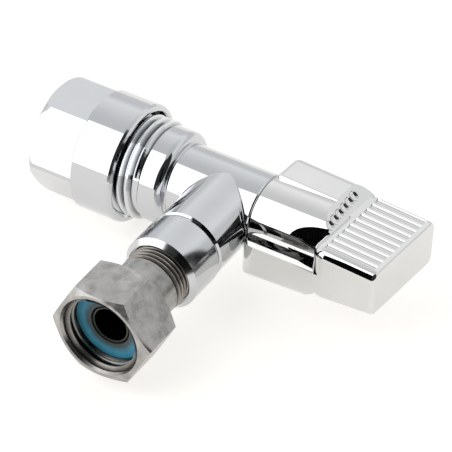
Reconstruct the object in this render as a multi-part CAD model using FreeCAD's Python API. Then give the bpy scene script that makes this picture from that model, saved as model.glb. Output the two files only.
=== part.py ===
"""Quarter-turn isolating valve: compression inlet along X, swivel outlet along -Y, lever handle on +X.

Millimetres, +Z up. Sizes are measured from the crossing of the inlet and outlet axes; the finished
pieces are then moved so that the origin is the centre of the stop that the inlet pipe meets.
"""
import math
import os

import FreeCAD
import Part

# Threads and the pipe
inlet_thread_d = 20.955
thread_depth = 1.16
tail_thread_d = 13.157
tail_thread_depth = 0.86
outlet_thread_d = 16.662
outlet_thread_depth = 1.16
pipe_d = 15.0

# Clearances
thread_clear = 0.07
pipe_clear = 0.06
turn_clear = 0.04
loose_clear = 0.3
seat_clear = 0.1
joint_gap = 0.2
seam_round = 0.2
near = 0.01

# Body
barrel_d = 15.8
body_left = -28.3
thread_zone_left = -24.4
land_left = -16.1
land_end = -10.95
land_round = 1.55
neck_fillet = 0.35
land_d = 19.7
body_right = 7.9
pipe_stop_x = -17.0
inlet_bore_d = 9.0
seat_x = -6.5
chamber_d = 11.6
mouth_d = 17.4
mouth_depth = 2.2
edge_break = 0.3
inlet_chamfer = 0.9
branch_fillet = 0.4

# Outlet branch of the body
branch_d = 15.5
collar_d = 16.0
groove_y = -16.9
groove_depth = 0.75
groove_width = 0.25
groove_bevel = 0.35
collar_bevel = 0.8
collar_front_y = -27.0
collar_front_bevel = 1.1
tail_socket_end_y = -18.5
branch_bore_d = 7.6
recess_depth = 1.2
recess_d = 13.9

# Compression nut and olive
nut_left = -40.8
nut_end_round = 2.4
nut_step = -30.6
nut_right = -20.7
nut_flats = 21.0
nut_skirt_d = 24.6
nut_hex_corner_d = 23.7
nut_mouth_d = 22.2
nut_mouth_len = 0.7
nut_lip_edge = 0.8
nut_lip_break = 0.25
nut_step_sink = 0.3
nut_step_rise = 0.2
nut_step_len = 0.9
nut_tighten = 1.3
nut_olive_bore_d = 18.0
nut_cone_len = 1.2
olive_d = 17.4
olive_len = 5.6
olive_rim = 0.35
olive_flank_share = 0.3
olive_entry = 0.1
olive_slack = 0.3

# Outlet tail, swivel nut and washer
swivel_front = -48.15
swivel_back = -37.25
swivel_flats = 19.0
swivel_face_d = 18.6
swivel_lip = 2.95
swivel_plain_bore_d = 15.3
swivel_turn = 2.0
swivel_bevel_angle = 30.0
swivel_corner_spare = 0.1
swivel_mouth_bevel = 0.35
swivel_mouth_len = 0.6
tail_thread_end_y = -33.0
tail_neck_d = 12.0
tail_flange_d = 14.8
tail_flange_len = 1.8
tail_bore_d = 7.2
tail_lip_d = 8.4
tail_lip_set = 0.2
tail_lip_bevel = 0.3
tail_lead = 0.6
tail_thread_room = 0.6
washer_d = 15.0
washer_thick = 2.0
washer_recess = 4.05
tail_o_ring_section = 1.7

# Headwork
bonnet_skirt_d = 11.2
bonnet_skirt_bore_d = 9.7
bonnet_skirt_left = -6.2
bonnet_flange_d = 13.4
bonnet_flange_len = 1.3
bonnet_hex_flats = 11.0
bonnet_hex_len = 3.2
bonnet_neck_d = 8.0
bonnet_neck_end = 14.4
bonnet_thread_gap = 1.0
bonnet_seal_room = 0.3
bonnet_seal_depth = 0.85
bonnet_rim = 0.1
window_left = -1.2
window_right = 3.0
window_width = 6.4
disc_d = 9.5
disc_thick = 1.8
seal_thick = 1.5
seal_bore_d = 6.6
port_angle = 76.0
port_inner_d = 2.4
port_outer_d = 7.4
spindle_stem_d = 5.6
spindle_foot_d = 5.0
spindle_collar_d = 9.2
spindle_collar_len = 1.3
thrust_thick = 0.5
thrust_gap = 1.4
spindle_spline_d = 5.2
spindle_end = 20.6
spindle_end_chamfer = 0.5
drive_width = 2.2
drive_depth = 0.8
drive_inset = 0.6
drive_root = 0.5
o_ring_section = 1.0
o_ring_clear = 0.03
o_ring_places = (7.2, 11.0)
clip_d = 7.8
clip_thick = 0.6
clip_gap = 0.1
clip_groove_depth = 0.5
clip_grip = 0.9
clip_mouth = 3.2
bonnet_seal_section = 1.0
bonnet_ring_section = 0.8
bonnet_ring_set = 0.7
bonnet_ring_inset = 0.45

# Handle
handle_set_angle = -6.0
block_inner = 1.6
block_side = 11.2
block_low = 0.3
block_top = 8.6
block_ramp_top = 8.0
block_corner = 3.4
block_plan_corner = 3.2
block_edge = 0.6
block_end_edge = 1.2
ramp_start = 21.7
ramp_end = 25.2
ramp_end_half = 5.3
flare_start = 19.5
flare_end = 27.0
flare_top = 5.55
flare_cover = 0.05
flare_bulge = 0.75
grip_left = 23.8
grip_left_half = 5.85
grip_end = 38.5
grip_end_half = 4.95
grip_drop = 0.2
grip_half_width = 11.8
grip_corner = 3.2
grip_edge = 1.9
grip_end_edge = 0.8
rib_count = 10
rib_pitch = 2.1
rib_radius = 0.9
rib_depth = 0.32
rib_start = 26.4
rib_end = 37.4
scallop_count = 7
scallop_radius = 1.5
scallop_depth = 0.5
scallop_place = 0.4
scallop_fall = 0.05
hub_cavity_d = 13.9
hub_cavity_end = 12.9
neck_cavity_end = 15.6
adaptor_d = 7.6
adaptor_end = 21.4
adaptor_gap = 0.2
spindle_room = 0.3
screw_d = 3.0
screw_len = 3.4
screw_x = 18.0
screw_turn = 50.0
screw_key_flats = 1.5
screw_key_depth = 1.6

X = FreeCAD.Vector(1, 0, 0)
Y = FreeCAD.Vector(0, 1, 0)
Z = FreeCAD.Vector(0, 0, 1)
ORIGIN = FreeCAD.Vector(0, 0, 0)


def turned_x(points):
    """Solid of revolution about X from (x, radius) corners."""
    wire = Part.makePolygon([FreeCAD.Vector(x, 0, r) for x, r in points + points[:1]])
    return Part.Face(wire).revolve(ORIGIN, X, 360)


def turned_y(points):
    """Solid of revolution about Y from (y, radius) corners."""
    wire = Part.makePolygon([FreeCAD.Vector(r, y, 0) for y, r in points + points[:1]])
    return Part.Face(wire).revolve(ORIGIN, Y, 360)


def rod(axis, start, end, diameter):
    """Cylinder on X or Y between two places on that axis."""
    low, high = min(start, end), max(start, end)
    return Part.makeCylinder(diameter / 2, high - low, axis * low, axis)


def ring_x(x, mean_radius, section):
    """O-ring about X."""
    return Part.makeTorus(mean_radius, section / 2, X * x, X)


def hexagon(axis, start, length, flats, corner_angle):
    """Hexagonal prism along X or Y, one corner at the given angle about that axis."""
    radius = flats / math.sqrt(3)
    corners = []
    for step in range(6):
        a = math.radians(corner_angle + 60 * step)
        if axis == X:
            corners.append(FreeCAD.Vector(start, radius * math.cos(a), radius * math.sin(a)))
        else:
            corners.append(FreeCAD.Vector(radius * math.cos(a), start, radius * math.sin(a)))
    face = Part.Face(Part.makePolygon(corners + corners[:1]))
    return face.extrude(axis * length)


def box(x0, x1, y0, y1, z0, z1):
    """Box between two corners."""
    return Part.makeBox(x1 - x0, y1 - y0, z1 - z0, FreeCAD.Vector(x0, y0, z0))


def turn_x(shape, angle):
    """Copy turned about the X axis."""
    copy = shape.copy()
    copy.rotate(ORIGIN, X, angle)
    return copy


def sector_cut(x0, x1, inner_d, outer_d, angle, centre):
    """Ring sector about X, used for the disc ports."""
    ring = rod(X, x0, x1, outer_d).cut(rod(X, x0, x1, inner_d))
    reach = outer_d
    half = math.radians(angle / 2)
    wedge = Part.Face(Part.makePolygon([
        FreeCAD.Vector(x0, 0, 0),
        FreeCAD.Vector(x0, reach * math.cos(half), reach * math.sin(half)),
        FreeCAD.Vector(x0, reach * math.cos(half), -reach * math.sin(half)),
        FreeCAD.Vector(x0, 0, 0),
    ])).extrude(X * (x1 - x0))
    return turn_x(ring.common(wedge), centre)


def fillet_where(shape, radius, test):
    """Round the edges whose middle point passes the test."""
    edges = [e for e in shape.Edges if test(e.CenterOfMass, e)]
    return shape.makeFillet(radius, edges) if edges else shape


thread_r = inlet_thread_d / 2
root_r = thread_r - thread_depth
barrel_r = barrel_d / 2
land_r = land_d / 2
chamber_r = chamber_d / 2
socket_r = pipe_d / 2 + pipe_clear


def make_body():
    """Brass body: threaded inlet, round barrel, side branch with a turned collar, and its waterways."""
    run = [
        (body_left, 0),
        (body_left, thread_r - inlet_chamfer),
        (body_left + inlet_chamfer, thread_r),
        (thread_zone_left, thread_r),
        (thread_zone_left, root_r),
        (land_left, root_r),
        (land_left, land_r - edge_break),
        (land_left + edge_break, land_r),
        (land_end, land_r),
        (land_end, barrel_r),
        (body_right - edge_break, barrel_r),
        (body_right, barrel_r - edge_break),
        (body_right, 0),
    ]
    outside = turned_x(run)
    for radius, ring_r in ((land_round, land_r), (neck_fillet, barrel_r)):
        outside = fillet_where(outside, radius,
                               lambda c, e: abs(c.x - land_end) < near
                               and e.Curve.TypeId == "Part::GeomCircle"
                               and abs(e.Curve.Radius - ring_r) < near)

    branch_r = branch_d / 2
    collar_r = collar_d / 2
    groove_r = branch_r - groove_depth
    branch = turned_y([
        (0, 0),
        (0, branch_r),
        (groove_y + groove_bevel, branch_r),
        (groove_y, branch_r - groove_bevel),
        (groove_y, groove_r),
        (groove_y - groove_width, groove_r),
        (groove_y - groove_width - collar_bevel, collar_r),
        (collar_front_y + collar_front_bevel, collar_r),
        (collar_front_y, collar_r - collar_front_bevel),
        (collar_front_y, 0),
    ])
    body = outside.fuse(branch).removeSplitter()
    body = fillet_where(body, branch_fillet,
                        lambda c, e: e.Curve.TypeId == "Part::GeomBSplineCurve" and c.y < 0)

    socket = turned_x([
        (body_left - 1, 0),
        (body_left - 1, mouth_d / 2),
        (body_left, mouth_d / 2),
        (body_left + mouth_depth, socket_r),
        (pipe_stop_x, socket_r),
        (pipe_stop_x, inlet_bore_d / 2),
        (seat_x, inlet_bore_d / 2),
        (seat_x, chamber_r),
        (body_right + 1, chamber_r),
        (body_right + 1, 0),
    ])
    tail_socket_r = tail_thread_d / 2 + thread_clear
    outlet = turned_y([
        (0, 0),
        (0, branch_bore_d / 2),
        (tail_socket_end_y, branch_bore_d / 2),
        (tail_socket_end_y, tail_socket_r),
        (collar_front_y + recess_depth, tail_socket_r),
        (collar_front_y + recess_depth, recess_d / 2),
        (collar_front_y - 1, recess_d / 2),
        (collar_front_y - 1, 0),
    ])
    return body.cut(socket).cut(outlet)


def make_compression_nut():
    """Chromed nut: spanner hexagon outside the pipe hole, round skirt over the thread."""
    hex_part = hexagon(X, nut_left, nut_step + 1 - nut_left, nut_flats, 0)
    turned = rod(X, nut_left, nut_step + 1, nut_hex_corner_d)
    turned = fillet_where(turned, nut_end_round, lambda c, e: abs(c.x - nut_left) < near)
    skirt_r = nut_skirt_d / 2
    skirt = turned_x([
        (nut_step - nut_step_sink, 0),
        (nut_step - nut_step_sink, nut_flats / 2 + nut_step_rise),
        (nut_step + nut_step_len, skirt_r),
        (nut_right - nut_lip_edge, skirt_r),
        (nut_right - nut_lip_break, skirt_r - nut_lip_break),
        (nut_right, skirt_r - nut_lip_edge),
        (nut_right, 0),
    ])
    thread_bore_r = thread_r + thread_clear
    bore_end = body_left - nut_tighten - seat_clear
    cone_left = body_left + olive_entry - olive_len - olive_slack
    inside = turned_x([
        (nut_left - 1, 0),
        (nut_left - 1, pipe_d / 2 + loose_clear),
        (cone_left, pipe_d / 2 + loose_clear),
        (cone_left + nut_cone_len, nut_olive_bore_d / 2),
        (bore_end, nut_olive_bore_d / 2),
        (bore_end, thread_bore_r),
        (nut_right - nut_mouth_len, thread_bore_r),
        (nut_right, nut_mouth_d / 2),
        (nut_right + 1, nut_mouth_d / 2),
        (nut_right + 1, 0),
    ])
    return hex_part.common(turned).fuse(skirt).removeSplitter().cut(inside)


def make_olive():
    """Barrel-shaped brass ring that grips the pipe."""
    left = olive_right - olive_len
    flank = olive_len * olive_flank_share
    hole_r = pipe_d / 2 + pipe_clear
    return turned_x([
        (left, hole_r),
        (left, hole_r + olive_rim),
        (left + flank, olive_d / 2),
        (olive_right - flank, olive_d / 2),
        (olive_right, hole_r + olive_rim),
        (olive_right, hole_r),
    ])


olive_right = body_left + olive_entry
washer_front_y = swivel_front + washer_recess
washer_back_y = washer_front_y + washer_thick
flange_back_y = washer_back_y + tail_flange_len
shoulder_y = swivel_back - swivel_lip


def make_tail():
    """Threaded tail screwed into the branch, with a flange that holds the swivel nut."""
    tail_r = tail_thread_d / 2
    root = tail_r - tail_thread_depth
    socket_bottom = tail_socket_end_y - tail_o_ring_section - 2 * seat_clear
    thread_start = collar_front_y + recess_depth + tail_thread_room
    lip_y = washer_front_y + tail_lip_set
    solid = turned_y([
        (socket_bottom, 0),
        (socket_bottom, tail_r - tail_lead),
        (socket_bottom - tail_lead, tail_r),
        (thread_start, tail_r),
        (thread_start, root),
        (tail_thread_end_y, root),
        (tail_thread_end_y, tail_neck_d / 2),
        (flange_back_y, tail_neck_d / 2),
        (flange_back_y, tail_flange_d / 2),
        (washer_back_y, tail_flange_d / 2),
        (washer_back_y, tail_lip_d / 2),
        (lip_y + tail_lip_bevel, tail_lip_d / 2),
        (lip_y, tail_lip_d / 2 - tail_lip_bevel),
        (lip_y, 0),
    ])
    return solid.cut(rod(Y, socket_bottom + 1, washer_front_y - 1, tail_bore_d))


def make_tail_ring():
    """Rubber ring squeezed between the tail and the end of its socket."""
    outer_r = tail_thread_d / 2 - seat_clear
    place = tail_socket_end_y - tail_o_ring_section / 2 - seat_clear
    return Part.makeTorus(outer_r - tail_o_ring_section / 2, tail_o_ring_section / 2, Y * place, Y)


def make_swivel_nut():
    """Nickel-plated swivel nut, free to turn on the tail."""
    length = swivel_back - swivel_front
    prism = hexagon(Y, swivel_front, length, swivel_flats, swivel_turn)
    limit_r = swivel_flats / math.sqrt(3) + swivel_corner_spare
    rise = (limit_r - swivel_face_d / 2) * math.tan(math.radians(swivel_bevel_angle))
    limit = turned_y([
        (swivel_front, 0),
        (swivel_front, swivel_face_d / 2),
        (swivel_front + rise, limit_r),
        (swivel_back - rise, limit_r),
        (swivel_back, swivel_face_d / 2),
        (swivel_back, 0),
    ])
    bore_r = outlet_thread_d / 2
    inside = turned_y([
        (swivel_front - 1, 0),
        (swivel_front - 1, bore_r + swivel_mouth_bevel),
        (swivel_front, bore_r + swivel_mouth_bevel),
        (swivel_front + swivel_mouth_len, bore_r),
        (washer_front_y, bore_r),
        (washer_front_y, swivel_plain_bore_d / 2),
        (shoulder_y, swivel_plain_bore_d / 2),
        (shoulder_y, tail_neck_d / 2 + loose_clear),
        (swivel_back + 1, tail_neck_d / 2 + loose_clear),
        (swivel_back + 1, 0),
    ])
    return prism.common(limit).cut(inside)


def make_washer():
    """Flat union washer on the tail's lip."""
    return turned_y([
        (washer_front_y, tail_lip_d / 2 + seat_clear),
        (washer_front_y, washer_d / 2),
        (washer_back_y, washer_d / 2),
        (washer_back_y, tail_lip_d / 2 + seat_clear),
    ])


seal_right = seat_x + seal_thick
fixed_right = seal_right + disc_thick
moving_right = fixed_right + disc_thick
flange_left = body_right
flange_right = flange_left + bonnet_flange_len
hex_right = flange_right + bonnet_hex_len
thrust_left = window_right + thrust_gap
collar_right = thrust_left
collar_left = collar_right - spindle_collar_len
thrust_right = thrust_left + thrust_thick
stem_bore_r = spindle_stem_d / 2 + turn_clear
clip_left = bonnet_neck_end + clip_gap


def make_bonnet():
    """Headwork bonnet: windowed skirt round the discs, thread, flange, small hexagon and neck."""
    thread_left = window_right + bonnet_thread_gap
    seal_left = flange_left - bonnet_seal_section - bonnet_seal_room
    outside = turned_x([
        (bonnet_skirt_left, 0),
        (bonnet_skirt_left, bonnet_skirt_d / 2),
        (thread_left, bonnet_skirt_d / 2),
        (thread_left, chamber_r - thread_clear),
        (seal_left, chamber_r - thread_clear),
        (seal_left, chamber_r - bonnet_seal_depth),
        (flange_left - bonnet_rim, chamber_r - bonnet_seal_depth),
        (flange_left - bonnet_rim, chamber_r - thread_clear),
        (flange_left, chamber_r - thread_clear),
        (flange_left, bonnet_flange_d / 2),
        (flange_right, bonnet_flange_d / 2),
        (flange_right, bonnet_neck_d / 2),
        (bonnet_neck_end, bonnet_neck_d / 2),
        (bonnet_neck_end, 0),
    ])
    hex_part = hexagon(X, flange_right - bonnet_rim, bonnet_hex_len + bonnet_rim, bonnet_hex_flats, 0)
    skirt_r = bonnet_skirt_bore_d / 2
    inside = turned_x([
        (bonnet_skirt_left - 1, 0),
        (bonnet_skirt_left - 1, skirt_r),
        (thrust_right, skirt_r),
        (thrust_right, stem_bore_r),
        (bonnet_neck_end + 1, stem_bore_r),
        (bonnet_neck_end + 1, 0),
    ])
    bonnet = outside.fuse(hex_part).removeSplitter().cut(inside)
    half = window_width / 2
    reach = bonnet_skirt_d
    return bonnet.cut(box(window_left, window_right, -reach, reach, -half, half))


def make_seat_seal():
    """Rubber ring between the body's seat and the fixed disc."""
    seal = rod(X, seat_x, seal_right, bonnet_skirt_bore_d - 2 * seat_clear)
    return seal.cut(rod(X, seat_x - 1, seal_right + 1, seal_bore_d))


def ported_disc(left, diameter, centre):
    """Ceramic disc with two opposite ports."""
    disc = rod(X, left, left + disc_thick, diameter)
    for turn in (0, 180):
        disc = disc.cut(sector_cut(left - 1, left + disc_thick + 1, port_inner_d, port_outer_d,
                                   port_angle, centre + turn))
    return disc


def make_moving_disc():
    """Ceramic disc turned by the spindle; its slot takes the spindle's drive key."""
    disc = ported_disc(fixed_right, disc_d - 2 * seat_clear, handle_set_angle)
    slot = box(moving_right - drive_depth, moving_right + 1, -drive_width / 2, drive_width / 2,
               -disc_d, disc_d)
    return disc.cut(turn_x(slot, handle_set_angle))


def make_spindle():
    """Brass spindle: drive key, thrust collar, stem with ring grooves, splined end."""
    groove_r = stem_bore_r - o_ring_section - 2 * o_ring_clear
    half_groove = o_ring_section / 2 + seat_clear
    stem_r = spindle_stem_d / 2
    run = [
        (moving_right + seat_clear, 0),
        (moving_right + seat_clear, spindle_foot_d / 2),
        (collar_left, spindle_foot_d / 2),
        (collar_left, spindle_collar_d / 2),
        (collar_right, spindle_collar_d / 2),
        (collar_right, stem_r),
    ]
    for place in o_ring_places:
        run += [(place - half_groove, stem_r), (place - half_groove, groove_r)]
        run += [(place + half_groove, groove_r), (place + half_groove, stem_r)]
    run += [
        (clip_left, stem_r),
        (clip_left, stem_r - clip_groove_depth),
        (clip_left + clip_thick + clip_gap, stem_r - clip_groove_depth),
        (clip_left + clip_thick + clip_gap, spindle_spline_d / 2),
        (spindle_end - spindle_end_chamfer, spindle_spline_d / 2),
        (spindle_end, spindle_spline_d / 2 - spindle_end_chamfer),
        (spindle_end, 0),
    ]
    key_half = drive_width / 2 - seat_clear
    key_reach = disc_d / 2 - drive_inset
    key = box(moving_right - drive_depth + seat_clear, moving_right + drive_root, -key_half, key_half,
              -key_reach, key_reach)
    key = key.common(rod(X, moving_right - drive_depth, moving_right + 1, disc_d - 1))
    return turned_x(run).fuse(turn_x(key, handle_set_angle)).removeSplitter()


def make_thrust_washer():
    """Low-friction washer between the spindle's collar and the bonnet."""
    washer = rod(X, thrust_left, thrust_right, bonnet_skirt_bore_d - 2 * seat_clear)
    return washer.cut(rod(X, thrust_left - 1, thrust_right + 1, spindle_stem_d + 2 * seat_clear))


def make_circlip():
    """Spring clip that holds the spindle in the bonnet."""
    clip = rod(X, clip_left, clip_left + clip_thick, clip_d)
    clip = clip.cut(rod(X, clip_left - 1, clip_left + clip_thick + 1, spindle_stem_d - clip_grip))
    mouth = box(clip_left - 1, clip_left + clip_thick + 1, -clip_mouth / 2, clip_mouth / 2, 0, clip_d)
    return clip.cut(mouth)


screw_tip = -adaptor_d / 2 - seat_clear
stem_ring_r = stem_bore_r - o_ring_clear - o_ring_section / 2


def make_handle():
    """Chromed lever: round hub between two square blocks, and a flat ribbed grip below their end ramps."""
    left = body_right + joint_gap
    hub = rod(X, left, flare_end, barrel_d)
    hub = fillet_where(hub, seam_round, lambda c, e: abs(c.x - left) < near)

    fall = (block_top - block_ramp_top) / (ramp_start - left)
    end_top = block_top - fall * (ramp_end - left)
    profile = [
        (left, block_low),
        (left, block_top),
        (ramp_end, end_top),
        (ramp_end, block_low),
    ]
    wire = Part.makePolygon([FreeCAD.Vector(x, block_inner, z) for x, z in profile + profile[:1]])
    block = Part.Face(wire)
    block = block.extrude(Y * (block_side - block_inner))
    in_plan = fillet_where(block, block_plan_corner,
                           lambda c, e: abs(c.x - left) < near and abs(c.y - block_side) < near)
    block = fillet_where(block, block_corner,
                         lambda c, e: c.z > end_top and abs(c.y - block_side) < near and c.x > left + 1)
    block = fillet_where(block, block_edge,
                         lambda c, e: c.z > end_top and abs(c.y - block_inner) < near and c.x > left + 1)
    block = block.common(in_plan)
    block = fillet_where(block, block_end_edge,
                         lambda c, e: left - near < c.x < left + block_plan_corner
                         and c.z > block_top - block_corner
                         and c.y > block_inner + block_edge)
    above_ramp = Part.Face(Part.makePolygon([
        FreeCAD.Vector(ramp_start, -barrel_d, block_ramp_top),
        FreeCAD.Vector(ramp_end, -barrel_d, ramp_end_half),
        FreeCAD.Vector(flare_end + 1, -barrel_d, ramp_end_half),
        FreeCAD.Vector(flare_end + 1, -barrel_d, 2 * block_top),
        FreeCAD.Vector(ramp_start, -barrel_d, 2 * block_top),
        FreeCAD.Vector(ramp_start, -barrel_d, block_ramp_top),
    ])).extrude(Y * 2 * barrel_d)
    head = hub.fuse([block, turn_x(block, 180)]).removeSplitter()
    head = head.cut(Part.makeCompound([above_ramp, turn_x(above_ramp, 180)]))

    flare_side = grip_half_width - flare_cover
    start = FreeCAD.Vector(flare_start, block_side, block_low)
    bulge_y = block_side + flare_bulge * (flare_side - block_side)
    middle = FreeCAD.Vector((flare_start + flare_end) / 2, bulge_y, block_low)
    end = FreeCAD.Vector(flare_end, flare_side, block_low)
    inner_end = FreeCAD.Vector(flare_end, block_inner, block_low)
    inner_start = FreeCAD.Vector(flare_start, block_inner, block_low)
    sides = Part.makePolygon([end, inner_end, inner_start, start]).Edges
    curve = Part.Arc(start, middle, end).toShape()
    flare = Part.Face(Part.Wire([curve] + sides)).extrude(Z * (flare_top - block_low))
    flare = fillet_where(flare, grip_edge,
                         lambda c, e: e.Curve.TypeId == "Part::GeomCircle" and abs(c.z - flare_top) < near)

    outline = [
        (grip_left, grip_left_half - grip_drop),
        (grip_end, grip_end_half - grip_drop),
        (grip_end, -grip_end_half - grip_drop),
        (grip_left, -grip_left_half - grip_drop),
    ]
    wire = Part.makePolygon([FreeCAD.Vector(x, -grip_half_width, z) for x, z in outline + outline[:1]])
    grip = Part.Face(wire).extrude(Y * 2 * grip_half_width)
    grip = fillet_where(grip, grip_corner,
                        lambda c, e: abs(abs(c.y) - grip_half_width) < near and abs(c.x - grip_left) < near)
    grip = fillet_where(grip, grip_edge,
                        lambda c, e: abs(c.z + grip_drop) > grip_end_half - near and c.x < grip_end - near
                        and (abs(c.y) > 1 or abs(c.x - grip_left) < near))
    grip = fillet_where(grip, grip_end_edge, lambda c, e: abs(c.x - grip_end) < near)

    slope = math.atan2(grip_left_half - grip_end_half, grip_end - grip_left)
    along = FreeCAD.Vector(math.cos(slope), 0, -math.sin(slope))
    start_half = grip_left_half - (rib_start - grip_left) * math.tan(slope)
    cuts = []
    for step in range(rib_count):
        y = (step - (rib_count - 1) / 2) * rib_pitch
        base = FreeCAD.Vector(rib_start, y, start_half + rib_radius - rib_depth)
        rib = Part.makeCylinder(rib_radius, rib_end - rib_start, base, along)
        cuts += [c.translated(Z * -grip_drop) for c in (rib, turn_x(rib, 180))]
    ramp = math.atan2(block_ramp_top - ramp_end_half, ramp_end - ramp_start)
    ramp_len = math.hypot(block_ramp_top - ramp_end_half, ramp_end - ramp_start)
    lift = scallop_radius - scallop_depth
    scallops = []
    for step in range(scallop_count):
        y = ((scallop_count - 1) / 2 - step) * rib_pitch
        down = (scallop_place + step * scallop_fall) * ramp_len
        place = FreeCAD.Vector(ramp_start + down * math.cos(ramp) + lift * math.sin(ramp), y,
                               block_ramp_top - down * math.sin(ramp) + lift * math.cos(ramp))
        scallops.append(Part.makeSphere(scallop_radius, place))
    handle = head.fuse([flare, turn_x(flare, 180), grip]).removeSplitter()
    handle = handle.cut(Part.makeCompound(cuts + scallops + [turn_x(c, 180) for c in scallops]))
    cavity = turned_x([
        (left - 1, 0),
        (left - 1, hub_cavity_d / 2),
        (hub_cavity_end, hub_cavity_d / 2),
        (hub_cavity_end, bonnet_neck_d / 2 + loose_clear),
        (neck_cavity_end, bonnet_neck_d / 2 + loose_clear),
        (neck_cavity_end, adaptor_d / 2),
        (adaptor_end + joint_gap, adaptor_d / 2),
        (adaptor_end + joint_gap, 0),
    ])
    handle = handle.cut(cavity)
    hole = Part.makeCylinder(screw_d / 2 + thread_clear, barrel_d, FreeCAD.Vector(screw_x, 0, 0), -Z)
    handle = handle.cut(turn_x(hole, screw_turn))
    return turn_x(handle, handle_set_angle)


def make_adaptor():
    """Plastic broach insert between the spindle's splines and the handle."""
    bush = rod(X, neck_cavity_end + adaptor_gap, adaptor_end, adaptor_d - 2 * turn_clear)
    return bush.cut(rod(X, neck_cavity_end - 1, spindle_end + spindle_room, spindle_spline_d + 2 * turn_clear))


def make_screw():
    """Socket grub screw that locks the handle, on its hidden side."""
    screw = Part.makeCylinder(screw_d / 2, screw_len, FreeCAD.Vector(screw_x, 0, screw_tip), -Z)
    radius = screw_key_flats / math.sqrt(3)
    mouth_z = screw_tip - screw_len
    corners = []
    for step in range(7):
        a = math.radians(60 * step)
        corners.append(FreeCAD.Vector(screw_x + radius * math.cos(a), radius * math.sin(a), mouth_z))
    key = Part.Face(Part.makePolygon(corners)).extrude(Z * screw_key_depth)
    return turn_x(screw.cut(key), screw_turn + handle_set_angle)


parts = {
    "valve_body": make_body(),
    "compression_nut": make_compression_nut(),
    "olive": make_olive(),
    "outlet_tail": make_tail(),
    "tail_o_ring": make_tail_ring(),
    "swivel_nut": make_swivel_nut(),
    "union_washer": make_washer(),
    "bonnet": make_bonnet(),
    "bonnet_o_ring": ring_x(flange_left - bonnet_ring_set, chamber_r - bonnet_ring_inset, bonnet_ring_section),
    "seat_seal": make_seat_seal(),
    "fixed_disc": ported_disc(seal_right, disc_d, 0),
    "moving_disc": make_moving_disc(),
    "spindle": make_spindle(),
    "spindle_o_ring_inner": ring_x(o_ring_places[0], stem_ring_r, o_ring_section),
    "spindle_o_ring_outer": ring_x(o_ring_places[1], stem_ring_r, o_ring_section),
    "thrust_washer": make_thrust_washer(),
    "circlip": make_circlip(),
    "spline_adaptor": make_adaptor(),
    "handle": make_handle(),
    "grub_screw": make_screw(),
}

os.makedirs("parts", exist_ok=True)
for name, shape in parts.items():
    shape.translate(X * -pipe_stop_x)
    solids = shape.Solids
    print(name, "solids", len(solids), "valid", shape.isValid(), "volume %.1f" % shape.Volume)
    (solids[0] if len(solids) == 1 else shape).exportStep("parts/%s.step" % name)
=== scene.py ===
import math

import bmesh
import bpy
from mathutils import Matrix, Vector


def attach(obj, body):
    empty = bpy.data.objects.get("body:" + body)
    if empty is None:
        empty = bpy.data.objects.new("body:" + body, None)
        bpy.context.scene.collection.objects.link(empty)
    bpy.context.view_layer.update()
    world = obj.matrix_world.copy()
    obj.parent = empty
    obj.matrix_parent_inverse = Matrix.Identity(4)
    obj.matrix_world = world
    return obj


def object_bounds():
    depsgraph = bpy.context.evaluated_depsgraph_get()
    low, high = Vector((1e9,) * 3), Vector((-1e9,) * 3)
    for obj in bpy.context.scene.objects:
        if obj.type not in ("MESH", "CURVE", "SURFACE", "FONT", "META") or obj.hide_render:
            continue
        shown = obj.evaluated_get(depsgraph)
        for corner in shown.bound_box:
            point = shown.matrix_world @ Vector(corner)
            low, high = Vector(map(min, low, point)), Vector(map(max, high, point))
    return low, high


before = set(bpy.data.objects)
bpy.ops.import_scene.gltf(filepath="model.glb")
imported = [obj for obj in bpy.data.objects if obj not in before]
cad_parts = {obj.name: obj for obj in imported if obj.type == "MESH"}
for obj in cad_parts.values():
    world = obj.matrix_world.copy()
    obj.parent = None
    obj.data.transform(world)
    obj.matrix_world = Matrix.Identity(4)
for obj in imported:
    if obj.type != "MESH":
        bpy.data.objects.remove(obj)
cad_low, cad_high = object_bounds()


# Valve body: a hot-pressed brass body, turned at the inlet and the branch, then polished and chromed.
# The plating is thin and even, so the look is a clear mirror with a faint ripple from the polishing wheel.
mm = 0.001


def colour(text):
    """Linear colour with alpha from an sRGB hex text."""
    parts = [int(text[i:i + 2], 16) / 255 for i in (1, 3, 5)]
    return [p / 12.92 if p <= 0.04045 else ((p + 0.055) / 1.055) ** 2.4 for p in parts] + [1.0]


def add(tree, kind, settings, links):
    """One shader node with its settings and the links into it."""
    node = tree.nodes.new(kind)
    for key, value in settings.items():
        if isinstance(key, int) or key in node.inputs:
            node.inputs[key].default_value = value
        else:
            setattr(node, key, value)
    for key, (source, socket) in links.items():
        tree.links.new(source.outputs[socket], node.inputs[key])
    return node


def empty_material(name):
    """A material with an empty node tree."""
    material = bpy.data.materials.new(name)
    material.use_nodes = True
    material.node_tree.nodes.clear()
    return material, material.node_tree


def give(node_name, material):
    """Puts a material on a CAD node."""
    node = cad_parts[node_name]
    node.data.materials.clear()
    node.data.materials.append(material)


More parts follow.
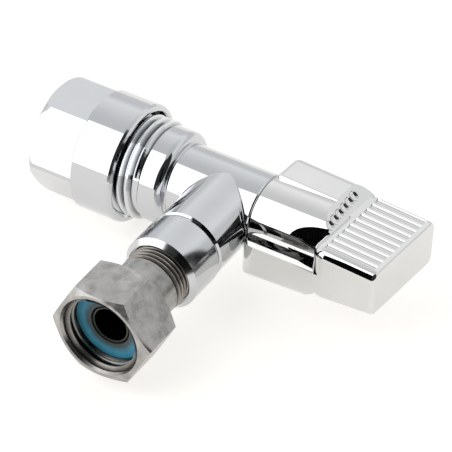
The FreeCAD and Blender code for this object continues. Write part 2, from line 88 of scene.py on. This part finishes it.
def polished_chrome(name, light, dark, ripple, collar_satin):
    """Mirror chrome: two close greys in soft patches, a faint ripple from the polishing wheel,
    and a satin collar at the end of the branch, which was only turned."""
    patch_size = 9 * mm
    ripple_length = 2.5 * mm
    ripple_height = 0.02 * mm
    clear_roughness = 0.015
    hazy_roughness = 0.04
    collar_y = -16.9 * mm
    collar_blend = 0.4 * mm
    material, tree = empty_material(name)
    place = add(tree, "ShaderNodeTexCoord", {}, {})
    patches = add(tree, "ShaderNodeTexNoise", {"Scale": 1 / patch_size, "Detail": 3.0},
                  {"Vector": (place, "Object")})
    shade = add(tree, "ShaderNodeMix", {"data_type": "RGBA", 6: colour(dark), 7: colour(light)},
                {"Factor": (patches, "Fac")})
    haze = add(tree, "ShaderNodeMapRange",
               {"From Min": 0.3, "From Max": 0.7, "To Min": clear_roughness, "To Max": hazy_roughness},
               {"Value": (patches, "Fac")})
    along = add(tree, "ShaderNodeSeparateXYZ", {}, {"Vector": (place, "Object")})
    turned = add(tree, "ShaderNodeMapRange",
                 {"From Min": collar_y, "From Max": collar_y - collar_blend, "To Max": collar_satin},
                 {"Value": (along, "Y")})
    blur = add(tree, "ShaderNodeMath", {"operation": "ADD"}, {0: (haze, "Result"), 1: (turned, "Result")})
    wheel = add(tree, "ShaderNodeTexNoise", {"Scale": 1 / ripple_length, "Detail": 1.0},
                {"Vector": (place, "Object")})
    relief = add(tree, "ShaderNodeBump", {"Strength": ripple, "Distance": ripple_height},
                 {"Height": (wheel, "Fac")})
    surface = add(tree, "ShaderNodeBsdfPrincipled", {"Metallic": 1.0},
                  {"Base Color": (shade, 2), "Roughness": (blur, 0), "Normal": (relief, "Normal")})
    add(tree, "ShaderNodeOutputMaterial", {}, {"Surface": (surface, "BSDF")})
    return material


body_chrome = polished_chrome("polished chrome on brass", "#cacbcd", "#c0c2c5",
                              ripple=0.15, collar_satin=0.14)
give("valve_body", body_chrome)


# Inlet thread: right-hand turns cut on the body's inlet end, chromed with the body.
# One ridge winds round the root cylinder and fades out towards the land.
def piece_from(bm, name):
    """An object at the origin with the finished bmesh as its mesh."""
    mesh = bpy.data.meshes.new(name)
    bm.to_mesh(mesh)
    bm.free()
    piece = bpy.data.objects.new(name, mesh)
    bpy.context.scene.collection.objects.link(piece)
    return piece


def thread_ridge(name, axis, centre, span, radii, pitch, fade, first_turn):
    """A closed ridge wound along an axis; its crest is above the root outside, below it inside a nut."""
    start, end = span
    root, crest = radii
    half_foot = 0.46 * pitch
    half_crest = 0.10 * pitch
    sink_depth = 0.1 * mm
    steps_per_turn = 96
    sunk = root + math.copysign(sink_depth, root - crest)
    profile = [(-half_foot, sunk), (-half_foot, root), (-half_crest, crest),
               (half_crest, crest), (half_foot, root), (half_foot, sunk)]
    turns = (end - start) / pitch
    steps = round(turns * steps_per_turn)
    up = Vector((0, 0, 1))
    bm = bmesh.new()
    loop = [bm.verts.new(centre + axis * (start + place) + up * radius) for place, radius in profile]
    face = bm.faces.new(loop)
    bmesh.ops.rotate(bm, verts=loop, cent=centre, matrix=Matrix.Rotation(first_turn, 3, axis))
    bmesh.ops.spin(bm, geom=[face], cent=centre, axis=axis, dvec=axis * ((end - start) / steps),
                   angle=2 * math.pi * turns, steps=steps, use_duplicate=False)
    for v in bm.verts:
        far = (v.co - centre).dot(axis)
        foot = centre + axis * far
        arm = v.co - foot
        height = arm.length - root
        if height * (crest - root) > 0:
            left = min(1.0, (end + half_foot - far) / fade)
            v.co = foot + arm.normalized() * (root + height * left)
    bmesh.ops.recalc_face_normals(bm, faces=bm.faces)
    return piece_from(bm, name)


def axis_distance(tree, place, axis, centre):
    """The distance of a place from the line through the centre along X or Y."""
    across = [1 - abs(share) for share in axis]
    off = add(tree, "ShaderNodeVectorMath", {"operation": "SUBTRACT", 1: centre}, {0: (place, "Object")})
    flat = add(tree, "ShaderNodeVectorMath", {"operation": "MULTIPLY", 1: across}, {0: (off, 0)})
    return add(tree, "ShaderNodeVectorMath", {"operation": "LENGTH"}, {0: (flat, 0)})


def thread_metal_painted_shade(name, shades, axis, centre, radii, roughness):
    """Thread metal: dark in the valleys as painted shade, and lighter towards the crests,
    with an edge that wanders in specks."""
    speck_size = 1.2 * mm
    wander = 0.12 * mm
    valley, crest = shades
    painted_shade_radius, bright_radius = radii
    material, tree = empty_material(name)
    place = add(tree, "ShaderNodeTexCoord", {}, {})
    reach = axis_distance(tree, place, axis, centre)
    specks = add(tree, "ShaderNodeTexNoise", {"Scale": 1 / speck_size, "Detail": 3.0},
                 {"Vector": (place, "Object")})
    uneven = add(tree, "ShaderNodeMapRange", {"To Min": -wander, "To Max": wander},
                 {"Value": (specks, "Fac")})
    height = add(tree, "ShaderNodeMath", {"operation": "ADD"}, {0: (reach, "Value"), 1: (uneven, "Result")})
    # Painted shade: the colour darkens towards the root, where the valleys lie.
    share = add(tree, "ShaderNodeMapRange", {"From Min": painted_shade_radius, "From Max": bright_radius},
                {"Value": (height, 0)})
    shade = add(tree, "ShaderNodeMix", {"data_type": "RGBA", 6: colour(valley), 7: colour(crest)},
                {"Factor": (share, "Result")})
    surface = add(tree, "ShaderNodeBsdfPrincipled", {"Metallic": 1.0, "Roughness": roughness},
                  {"Base Color": (shade, 2)})
    add(tree, "ShaderNodeOutputMaterial", {}, {"Surface": (surface, "BSDF")})
    return material


barrel_axis = Vector((1, 0, 0))
barrel_centre = Vector((0, 0, 0))
inlet_span = (-6.9 * mm, 0.45 * mm)
inlet_root = 9.3175 * mm
inlet_crest = 10.4 * mm
inlet_bright = inlet_crest - 0.15 * mm
inlet_pitch = 1.814 * mm
inlet_fade = 0.9 * mm
inlet_first_turn = math.radians(45)
inlet_thread = thread_ridge("inlet_thread", barrel_axis, barrel_centre, inlet_span,
                            (inlet_root, inlet_crest), inlet_pitch, inlet_fade, inlet_first_turn)
# The valleys of the inlet thread are painted dark as shade.
inlet_chrome = thread_metal_painted_shade("chrome on the inlet thread", ("#6c6e71", "#d4d6d8"), barrel_axis,
                            barrel_centre, (inlet_root, inlet_bright), roughness=0.1)
inlet_thread.data.materials.append(inlet_chrome)
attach(inlet_thread, "valve")


# Headwork: the bonnet that is screwed into the barrel, and the spindle that turns in it.
# Both are turned from brass bar, left plain from the lathe and shut inside the body and the hub.
def two_shade_stuff(name, light, dark, grain, roughness, metallic):
    """A plain material in two close shades, in soft patches of the given size."""
    material, tree = empty_material(name)
    place = add(tree, "ShaderNodeTexCoord", {}, {})
    patches = add(tree, "ShaderNodeTexNoise", {"Scale": 1 / grain, "Detail": 2.0},
                  {"Vector": (place, "Object")})
    shade = add(tree, "ShaderNodeMix", {"data_type": "RGBA", 6: colour(dark), 7: colour(light)},
                {"Factor": (patches, "Fac")})
    surface = add(tree, "ShaderNodeBsdfPrincipled", {"Metallic": metallic, "Roughness": roughness},
                  {"Base Color": (shade, 2)})
    add(tree, "ShaderNodeOutputMaterial", {}, {"Surface": (surface, "BSDF")})
    return material


# Bare turned brass is a warm yellow, satin from the tool.
headwork_brass = two_shade_stuff("turned brass", "#d8b66a", "#c39f55",
                                 grain=4 * mm, roughness=0.3, metallic=1.0)
give("bonnet", headwork_brass)
give("spindle", headwork_brass)


# Seals and small headwork pieces: moulded rubber rings, lapped ceramic discs, a low-friction washer,
# a moulded adaptor between the spindle and the hub, a spring-steel clip and the handle's grub screw.
# All of them sit inside the body or the hub.

# Moulded rubber is a soft black.
black_rubber = two_shade_stuff("black rubber", "#242424", "#181818",
                               grain=2 * mm, roughness=0.55, metallic=0.0)
for ring in ("tail_o_ring", "bonnet_o_ring", "seat_seal", "spindle_o_ring_inner", "spindle_o_ring_outer"):
    give(ring, black_rubber)
# Lapped ceramic is a warm white with a clear shine.
ceramic = two_shade_stuff("lapped ceramic", "#efece4", "#e4e0d6",
                          grain=3 * mm, roughness=0.18, metallic=0.0)
for disc in ("fixed_disc", "moving_disc"):
    give(disc, ceramic)
# Both plastics are matt whites.
slip_plastic = two_shade_stuff("white low-friction plastic", "#f0f0ec", "#e6e6e0",
                               grain=2 * mm, roughness=0.45, metallic=0.0)
give("thrust_washer", slip_plastic)
moulded_plastic = two_shade_stuff("white moulded plastic", "#e9e9e4", "#dededa",
                                  grain=3 * mm, roughness=0.5, metallic=0.0)
give("spline_adaptor", moulded_plastic)
# Hardened steel is a dark satin grey.
dark_steel = two_shade_stuff("dark steel", "#6a6a6c", "#545457",
                             grain=1.5 * mm, roughness=0.35, metallic=1.0)
give("circlip", dark_steel)
give("grub_screw", dark_steel)


# Olive: a soft brass ring, turned and left bare.
# The nut presses it between the pipe and the body's mouth.
olive_brass = two_shade_stuff("olive brass", "#dcbd74", "#caa75c",
                              grain=4 * mm, roughness=0.3, metallic=1.0)
give("olive", olive_brass)


# Compression nut: turned from hexagon brass bar, then polished and chromed like the body.
# It is screwed onto the inlet thread over the olive.
nut_chrome = polished_chrome("polished chrome on the nut", "#cccdcf", "#c2c4c7",
                             ripple=0.15, collar_satin=0.0)
give("compression_nut", nut_chrome)


# Outlet tail: turned brass with a thin nickel plate, dull and a little stained.
# It is screwed into the branch, and its flange carries the swivel nut.
def dull_nickel(name, light, dark, stain, stain_share, painted_mouth_shade):
    """Dull nickel: two greys in mottled patches, faint brown stains, a satin surface,
    and painted shade darkening it towards the mouth of the bore."""
    patch_size = 3 * mm
    stain_size = 6 * mm
    smooth_roughness = 0.22
    coarse_roughness = 0.38
    mouth_y = -39 * mm
    mouth_blend = 1 * mm
    painted_bore_shade = "#26231f"
    material, tree = empty_material(name)
    place = add(tree, "ShaderNodeTexCoord", {}, {})
    patches = add(tree, "ShaderNodeTexNoise", {"Scale": 1 / patch_size, "Detail": 5.0, "Roughness": 0.62},
                  {"Vector": (place, "Object")})
    spread = add(tree, "ShaderNodeMapRange", {"From Min": 0.34, "From Max": 0.66},
                 {"Value": (patches, "Fac")})
    shade = add(tree, "ShaderNodeMix", {"data_type": "RGBA", 6: colour(dark), 7: colour(light)},
                {"Factor": (spread, "Result")})
    blots = add(tree, "ShaderNodeTexNoise", {"Scale": 1 / stain_size, "Detail": 4.0},
                {"Vector": (place, "Object")})
    where = add(tree, "ShaderNodeMapRange", {"From Min": 0.52, "From Max": 0.75, "To Max": stain_share},
                {"Value": (blots, "Fac")})
    stained = add(tree, "ShaderNodeMix", {"data_type": "RGBA", 7: colour(stain)},
                  {"Factor": (where, "Result"), 6: (shade, 2)})
    along = add(tree, "ShaderNodeSeparateXYZ", {}, {"Vector": (place, "Object")})
    # Painted shade inside the bore: the colour darkens past the mouth.
    mouth = add(tree, "ShaderNodeMapRange",
                {"From Min": mouth_y, "From Max": mouth_y - mouth_blend, "To Max": painted_mouth_shade},
                {"Value": (along, "Y")})
    dimmed = add(tree, "ShaderNodeMix", {"data_type": "RGBA", 7: colour(painted_bore_shade)},
                 {"Factor": (mouth, "Result"), 6: (stained, 2)})
    satin = add(tree, "ShaderNodeMapRange",
                {"From Min": 0.3, "From Max": 0.7, "To Min": smooth_roughness, "To Max": coarse_roughness},
                {"Value": (patches, "Fac")})
    surface = add(tree, "ShaderNodeBsdfPrincipled", {"Metallic": 1.0},
                  {"Base Color": (dimmed, 2), "Roughness": (satin, "Result")})
    add(tree, "ShaderNodeOutputMaterial", {}, {"Surface": (surface, "BSDF")})
    return material


# The tail's bore is darkened with painted shade towards its mouth.
tail_nickel = dull_nickel("dull nickel on the tail", "#98948f", "#6b6761", "#5d5349",
                          stain_share=0.6, painted_mouth_shade=0.75)
give("outlet_tail", tail_nickel)


# Tail thread: right-hand turns cut on the tail where it is screwed into the branch, plated with it.
# Its valleys are painted nearly black beside the crests, as painted shade.
branch_axis = Vector((0, -1, 0))
branch_centre = Vector((17.0 * mm, 0, 0))
tail_span = (25.7 * mm, 30.0 * mm)
tail_root = 5.7185 * mm
tail_crest = 6.5 * mm
tail_painted_shade_r = 5.75 * mm
tail_pitch = 1.0 * mm
tail_fade = 0.5 * mm
tail_thread = thread_ridge("tail_thread", branch_axis, branch_centre, tail_span,
                           (tail_root, tail_crest), tail_pitch, tail_fade, first_turn=0.0)
# The valleys of the tail thread are painted dark as shade.
tail_thread_nickel = thread_metal_painted_shade("nickel on the tail thread", ("#211f1d", "#a09c97"), branch_axis,
                                  branch_centre, (tail_painted_shade_r, tail_crest), roughness=0.26)
tail_thread.data.materials.append(tail_thread_nickel)
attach(tail_thread, "valve")


# Tail shank: the smooth round part of the tail between its thread and the swivel nut.
# It is turned and plated with the tail, and a little brighter where the nut rubs it.
def turned_ring(name, axis, centre, outline):
    """A closed ring: an outline of (place along the axis, radius) pairs turned once round the axis."""
    steps_round = 96
    weld = 0.001 * mm
    sharp_edge = math.radians(35)
    up = Vector((0, 0, 1))
    bm = bmesh.new()
    corners = [bm.verts.new(centre + axis * place + up * radius) for place, radius in outline]
    edges = [bm.edges.new((corners[i - 1], corner)) for i, corner in enumerate(corners)]
    bmesh.ops.spin(bm, geom=corners + edges, cent=centre, axis=axis, angle=2 * math.pi,
                   steps=steps_round, use_merge=True)
    bmesh.ops.remove_doubles(bm, verts=bm.verts, dist=weld)
    bmesh.ops.recalc_face_normals(bm, faces=bm.faces)
    for face in bm.faces:
        face.smooth = True
    piece = piece_from(bm, name)
    piece.data.set_sharp_from_angle(angle=sharp_edge)
    return piece


shank_start = 30.2 * mm
shank_start_r = 5.9 * mm
shank_near = 30.6 * mm
shank_near_r = 6.45 * mm
shank_far = 36.8 * mm
shank_far_r = 6.5 * mm
shank_end = 37.15 * mm
shank_end_r = 6.2 * mm
shank_sunk_r = 5.6 * mm
shank_outline = [(shank_start, shank_sunk_r), (shank_start, shank_start_r), (shank_near, shank_near_r),
                 (shank_far, shank_far_r), (shank_end, shank_end_r), (shank_end, shank_sunk_r)]
tail_shank = turned_ring("tail_shank", branch_axis, branch_centre, shank_outline)
shank_nickel = dull_nickel("rubbed nickel on the shank", "#b1b0ae", "#898886", "#75706b",
                           stain_share=0.45, painted_mouth_shade=0.0)
tail_shank.data.materials.append(shank_nickel)
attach(tail_shank, "valve")


# Swivel nut: turned from hexagon brass bar and nickel plated, mottled grey, with a pipe thread cut inside.
# It hangs on the tail's flange and turns freely until it is tightened.
nut_nickel = dull_nickel("mottled nickel on the nut", "#bab8b6", "#908e8c", "#7f7973",
                         stain_share=0.45, painted_mouth_shade=0.0)
give("swivel_nut", nut_nickel)
swivel_span = (44.7 * mm, 47.45 * mm)
swivel_root = 8.331 * mm
swivel_crest = 7.475 * mm
swivel_painted_shade_r = 8.3 * mm
swivel_bright = 7.5 * mm
swivel_pitch = 1.337 * mm
swivel_fade = 0.6 * mm
swivel_thread = thread_ridge("swivel_thread", branch_axis, branch_centre, swivel_span,
                             (swivel_root, swivel_crest), swivel_pitch, swivel_fade, first_turn=0.0)
# The valleys of the inside thread are painted dark as shade.
swivel_thread_nickel = thread_metal_painted_shade("nickel on the inside thread", ("#23211f", "#8b8782"), branch_axis,
                                    branch_centre, (swivel_painted_shade_r, swivel_bright), roughness=0.22)
swivel_thread.data.materials.append(swivel_thread_nickel)
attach(swivel_thread, "swivel")


# Union washer: a flat ring punched from blue rubber sheet, pushed into the swivel nut against the tail.
# Use has worn it dark round its hole.
def worn_rubber(name, dark, light, worn):
    """Rubber sheet: matt, cloudy in two close shades, finely grained and rubbed dark round the hole."""
    cloud_size = 1.5 * mm
    grain_size = 0.25 * mm
    grain_height = 0.02 * mm
    worn_radius = 4.9 * mm
    clean_radius = 6.1 * mm
    wander = 0.35 * mm
    material, tree = empty_material(name)
    place = add(tree, "ShaderNodeTexCoord", {}, {})
    reach = axis_distance(tree, place, branch_axis, branch_centre)
    clouds = add(tree, "ShaderNodeTexNoise", {"Scale": 1 / cloud_size, "Detail": 4.0},
                 {"Vector": (place, "Object")})
    tint = add(tree, "ShaderNodeMix", {"data_type": "RGBA", 6: colour(dark), 7: colour(light)},
               {"Factor": (clouds, "Fac")})
    uneven = add(tree, "ShaderNodeMapRange", {"To Min": -wander, "To Max": wander},
                 {"Value": (clouds, "Fac")})
    edge = add(tree, "ShaderNodeMath", {"operation": "ADD"}, {0: (reach, "Value"), 1: (uneven, "Result")})
    rubbed = add(tree, "ShaderNodeMapRange",
                 {"From Min": worn_radius, "From Max": clean_radius, "To Min": 0.92, "To Max": 0.0},
                 {"Value": (edge, 0)})
    shade = add(tree, "ShaderNodeMix", {"data_type": "RGBA", 7: colour(worn)},
                {"Factor": (rubbed, "Result"), 6: (tint, 2)})
    grain = add(tree, "ShaderNodeTexNoise", {"Scale": 1 / grain_size, "Detail": 2.0},
                {"Vector": (place, "Object")})
    relief = add(tree, "ShaderNodeBump", {"Strength": 0.25, "Distance": grain_height},
                 {"Height": (grain, "Fac")})
    surface = add(tree, "ShaderNodeBsdfPrincipled", {"Roughness": 0.45},
                  {"Base Color": (shade, 2), "Normal": (relief, "Normal")})
    add(tree, "ShaderNodeOutputMaterial", {}, {"Surface": (surface, "BSDF")})
    return material


washer_rubber = worn_rubber("blue rubber sheet", "#3487a6", "#54adc9", "#3f423d")
give("union_washer", washer_rubber)


# Handle: zinc alloy, die-cast in one piece with its blocks and ribbed grip, then polished and chromed.
# It sits on the spline adaptor, and the grub screw holds it.
handle_chrome = polished_chrome("bright chrome on the handle", "#dadad8", "#d1d2d1",
                                ripple=0.12, collar_satin=0.0)
give("handle", handle_chrome)


# Floor: a smooth white sheet that lies just under the valve.
# It glows a little, as a sheet lit from below does, so the shadows on it stay faint.
sheet_half = 3.0
sheet_gap = 0.05 * mm
bm = bmesh.new()
bmesh.ops.create_grid(bm, x_segments=1, y_segments=1, size=sheet_half)
bmesh.ops.translate(bm, verts=bm.verts, vec=Vector((0, 0, cad_low.z - sheet_gap)))
floor = piece_from(bm, "white_sheet")
sheet_white, tree = empty_material("white sheet")
glow = add(tree, "ShaderNodeEmission", {"Strength": 0.72, "Color": colour("#fffdfa")}, {})
matt = add(tree, "ShaderNodeBsdfDiffuse", {"Color": colour("#c0bebb")}, {})
both = add(tree, "ShaderNodeAddShader", {}, {0: (glow, 0), 1: (matt, 0)})
add(tree, "ShaderNodeOutputMaterial", {}, {"Surface": (both, 0)})
floor.data.materials.append(sheet_white)


# Black cards: three pieces of black cloth on frames beside the valve, seen only in the chrome.
# They give the dark line on the grip's edge, the streaks along the near block and the dark corner
# between the hub and the grip.
def black_card(name, corners, cloth):
    """A flat card with four corners in millimetres."""
    bm = bmesh.new()
    bm.faces.new([bm.verts.new(Vector(corner) * mm) for corner in corners])
    card = piece_from(bm, name)
    card.data.materials.append(cloth)
    card.visible_camera = False
    card.visible_diffuse = False
    card.visible_shadow = False


# Smooth cloth is an even black.
black_cloth, tree = empty_material("black cloth")
dull = add(tree, "ShaderNodeBsdfDiffuse", {"Color": colour("#0a0a0a")}, {})
add(tree, "ShaderNodeOutputMaterial", {}, {"Surface": (dull, 0)})

# Creased cloth is black with painted highlights on its folds.
fold_size = 5 * mm
creased_cloth, tree = empty_material("creased black cloth")
place = add(tree, "ShaderNodeTexCoord", {}, {})
folds = add(tree, "ShaderNodeTexNoise", {"Scale": 1 / fold_size, "Detail": 2.0, "Distortion": 1.5},
            {"Vector": (place, "Object")})
lit = add(tree, "ShaderNodeMapRange", {"From Min": 0.5, "From Max": 0.62}, {"Value": (folds, "Fac")})
shade = add(tree, "ShaderNodeMix", {"data_type": "RGBA", 6: colour("#080808"), 7: colour("#a4a4a8")},
            {"Factor": (lit, "Result")})
dull = add(tree, "ShaderNodeBsdfDiffuse", {}, {"Color": (shade, 2)})
add(tree, "ShaderNodeOutputMaterial", {}, {"Surface": (dull, 0)})

grip_corners = [(28.5, -46, 0), (52.5, -46, 0), (52.5, -46, 60), (28.5, -46, 60)]
black_card("grip_flag", grip_corners, black_cloth)
ledge_corners = [(21, -12.6, 4.2), (41, -12.6, 4.2), (41, -8.9, 4.2), (21, -8.9, 4.2)]
black_card("ledge_flag", ledge_corners, creased_cloth)
hub_corners = [(31, -14, 4.3), (38, -14, 4.3), (36.5, -14, 16), (31.5, -14, 31)]
black_card("corner_flag", hub_corners, black_cloth)


# Light: a pale cloth tent round the valve, duller overhead and low at the back.
# One big soft box shines at the front left, and the tent's open front, where the camera stands, is dark.
tent = bpy.data.worlds.new("white tent")
bpy.context.scene.world = tent
tent.use_nodes = True
tree = tent.node_tree
tree.nodes.clear()
place = add(tree, "ShaderNodeTexCoord", {}, {})
way = add(tree, "ShaderNodeSeparateXYZ", {}, {"Vector": (place, "Generated")})
turn = add(tree, "ShaderNodeMath", {"operation": "ARCTAN2"}, {0: (way, "Y"), 1: (way, "X")})
rise = add(tree, "ShaderNodeMath", {"operation": "ARCSINE"}, {0: (way, "Z")})


def panel(below, strength, turns, rises, edge):
    """Lays a soft-edged panel of one brightness on the tent, between turns and rises in degrees."""
    share = None
    for source, (first, last) in ((turn, turns), (rise, rises)):
        for middle, before, after in ((first, 0.0, 1.0), (last, 1.0, 0.0)):
            step = add(tree, "ShaderNodeMapRange",
                       {"interpolation_type": "SMOOTHSTEP", "From Min": math.radians(middle - edge),
                        "From Max": math.radians(middle + edge), "To Min": before, "To Max": after},
                       {"Value": (source, "Value")})
            if share is None:
                share = step
            else:
                share = add(tree, "ShaderNodeMath", {"operation": "MULTIPLY"},
                            {0: (share, 0), 1: (step, 0)})
    return add(tree, "ShaderNodeMix", {"B": strength}, {"Factor": (share, 0), "A": (below, 0)})


wall_light = 1.15
overhead_light = 0.76
back_light = 0.88
box_light = 2.2
front_light = 0.04
wall_top = math.radians(30)
overhead_start = math.radians(80)
cloth = add(tree, "ShaderNodeMapRange",
            {"interpolation_type": "SMOOTHSTEP", "From Min": wall_top, "From Max": overhead_start,
             "To Min": wall_light, "To Max": overhead_light}, {"Value": (rise, "Value")})
back_cloth = panel(cloth, back_light, turns=(15, 175), rises=(-4, 26), edge=8)
soft_box = panel(back_cloth, box_light, turns=(-166, -108), rises=(-4, 70), edge=3)
open_front = panel(soft_box, front_light, turns=(-108, 8), rises=(-4, 72), edge=5)
sky = add(tree, "ShaderNodeBackground", {"Color": colour("#fdfeff")}, {"Strength": (open_front, 0)})
add(tree, "ShaderNodeOutputWorld", {}, {"Surface": (sky, 0)})


# Camera: a long lens about a metre away, fitted to the photograph's outlines.
# Its place and its three directions are in the frame of the part.
lens_px = 5000
photo_px = 452
sensor_mm = 36.0
view_right = Vector((0.85061249, 0.52573935, 0.00751888))
view_down = Vector((0.34062635, -0.54010532, -0.76958426))
view_forward = Vector((-0.40053974, 0.65717911, -0.63850101))
view_place = Vector((407.03, -642.33, 616.85)) * mm
camera = bpy.data.cameras.new("camera")
camera.sensor_width = sensor_mm
camera.lens = lens_px * sensor_mm / photo_px
camera.clip_end = 20.0
camera_holder = bpy.data.objects.new("camera", camera)
bpy.context.scene.collection.objects.link(camera_holder)
stand = Matrix.Identity(4)
for column, direction in enumerate((view_right, -view_down, -view_forward)):
    stand.col[column][:3] = direction
stand.translation = view_place
camera_holder.matrix_world = stand
bpy.context.scene.camera = camera_holder
bpy.context.scene.view_settings.view_transform = "Standard"
